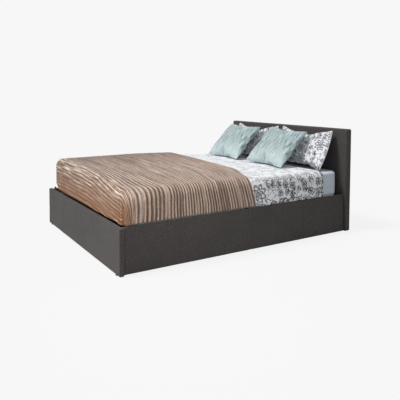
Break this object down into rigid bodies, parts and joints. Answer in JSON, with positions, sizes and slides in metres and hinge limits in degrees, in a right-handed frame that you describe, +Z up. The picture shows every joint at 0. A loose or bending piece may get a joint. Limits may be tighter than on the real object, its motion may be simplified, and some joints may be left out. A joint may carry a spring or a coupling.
{
  "type": "ottoman storage bed",
  "caption": "Upholstered double bed with a low padded headboard and a sprung-slat platform that lifts along one side on gas struts over a full-length storage well, dressed with bedding.",
  "frame": {"origin": "under the middle of the bed, on the floor", "axes": "+X across the bed towards the side that lifts, +Y along the bed from footboard to headboard, +Z up"},
  "size_m": [1.44, 2.06, 0.83],
  "materials": {
    "upholstery": "matte",
    "foam": "matte",
    "panel_board": "matte",
    "timber": "matte",
    "storage_board": "matte",
    "lining": "matte",
    "zinc_steel": "satin",
    "black_steel": "satin",
    "strut_rod": "polished",
    "black_plastic": "matte",
    "buffer_rubber": "matte",
    "slat_wood": "satin",
    "webbing": "matte",
    "mattress_fabric": "matte",
    "sheet_cotton": "matte",
    "duvet_cotton": "matte",
    "throw_satin": "satin",
    "pillow_cotton": "matte",
    "cushion_fabric": "satin"
  },
  "bodies": {
    "base": {"centre_floor_beam": "timber", "corner_bracket_foot_far": "zinc_steel", "corner_bracket_foot_near": "zinc_steel", "corner_bracket_head_far": "zinc_steel", "corner_bracket_head_near": "zinc_steel", "far_rail_board": "panel_board", "far_rail_cover": "upholstery", "floor_battens": "timber", "floor_glides": "black_plastic", "floor_panel_foot": "storage_board", "floor_panel_head": "storage_board", "floor_panel_middle": "storage_board", "footboard_cover": "upholstery", "footboard_panel": "panel_board", "frame_screws": "zinc_steel", "headboard_cover": "upholstery", "headboard_foam": "foam", "headboard_frame": "timber", "headboard_lining": "lining", "headboard_panel": "panel_board", "hinge_pins": "zinc_steel", "hinge_plate_foot": "black_steel", "hinge_plate_head": "black_steel", "near_rail_board": "panel_board", "near_rail_cover": "upholstery", "rest_buffers": "buffer_rubber", "strut_lower_studs": "zinc_steel", "support_ledge": "timber"},
    "platform": {"platform_near_tube": "black_steel", "platform_far_tube": "black_steel", "platform_centre_tube": "black_steel", "platform_head_tube": "black_steel", "platform_foot_tube": "black_steel", "swing_arm_head": "black_steel", "swing_arm_foot": "black_steel", "strut_upper_studs": "zinc_steel", "near_slats": "slat_wood", "far_slats": "slat_wood", "near_slat_holders": "black_plastic", "far_slat_holders": "black_plastic", "centre_slat_holders": "black_plastic", "mattress_stops": "black_steel", "lift_strap": "webbing", "mattress": "mattress_fabric", "fitted_sheet": "sheet_cotton", "duvet": "duvet_cotton", "throw": "throw_satin", "near_pillow": "pillow_cotton", "far_pillow": "pillow_cotton", "near_cushion": "cushion_fabric", "far_cushion": "cushion_fabric"},
    "head_strut_cylinder": {"strut_cylinder_head": "black_steel"},
    "head_strut_rod": {"strut_rod_head": "strut_rod"},
    "foot_strut_cylinder": {"strut_cylinder_foot": "black_steel"},
    "foot_strut_rod": {"strut_rod_foot": "strut_rod"}
  },
  "joints": [
    {"name": "platform_lift", "type": "hinge", "parent": "base", "child": "platform", "pos_m": [-0.66, -0.011, 0.308], "axis": [0, -1, 0], "range_deg": [0, 38]},
    {"name": "head_strut_swing", "type": "hinge", "parent": "base", "child": "head_strut_cylinder", "pos_m": [-0.62, 0.954, 0.116], "axis": [0, -1, 0], "range_deg": [0, 19]},
    {"name": "head_strut_slide", "type": "slide", "parent": "head_strut_cylinder", "child": "head_strut_rod", "axis": [0.7471, 0, 0.6647], "range_m": [0, 0.1026]},
    {"name": "foot_strut_swing", "type": "hinge", "parent": "base", "child": "foot_strut_cylinder", "pos_m": [-0.62, -0.976, 0.116], "axis": [0, -1, 0], "range_deg": [0, 19]},
    {"name": "foot_strut_slide", "type": "slide", "parent": "foot_strut_cylinder", "child": "foot_strut_rod", "axis": [0.7471, 0, 0.6647], "range_m": [0, 0.1026]}
  ],
  "couplings": [
    {"joint": "head_strut_swing", "follows": "platform_lift", "ratio": 0.49757},
    {"joint": "head_strut_slide", "follows": "platform_lift", "m_per_rad": 0.15455},
    {"joint": "foot_strut_swing", "follows": "platform_lift", "ratio": 0.49757},
    {"joint": "foot_strut_slide", "follows": "platform_lift", "m_per_rad": 0.15455}
  ]
}
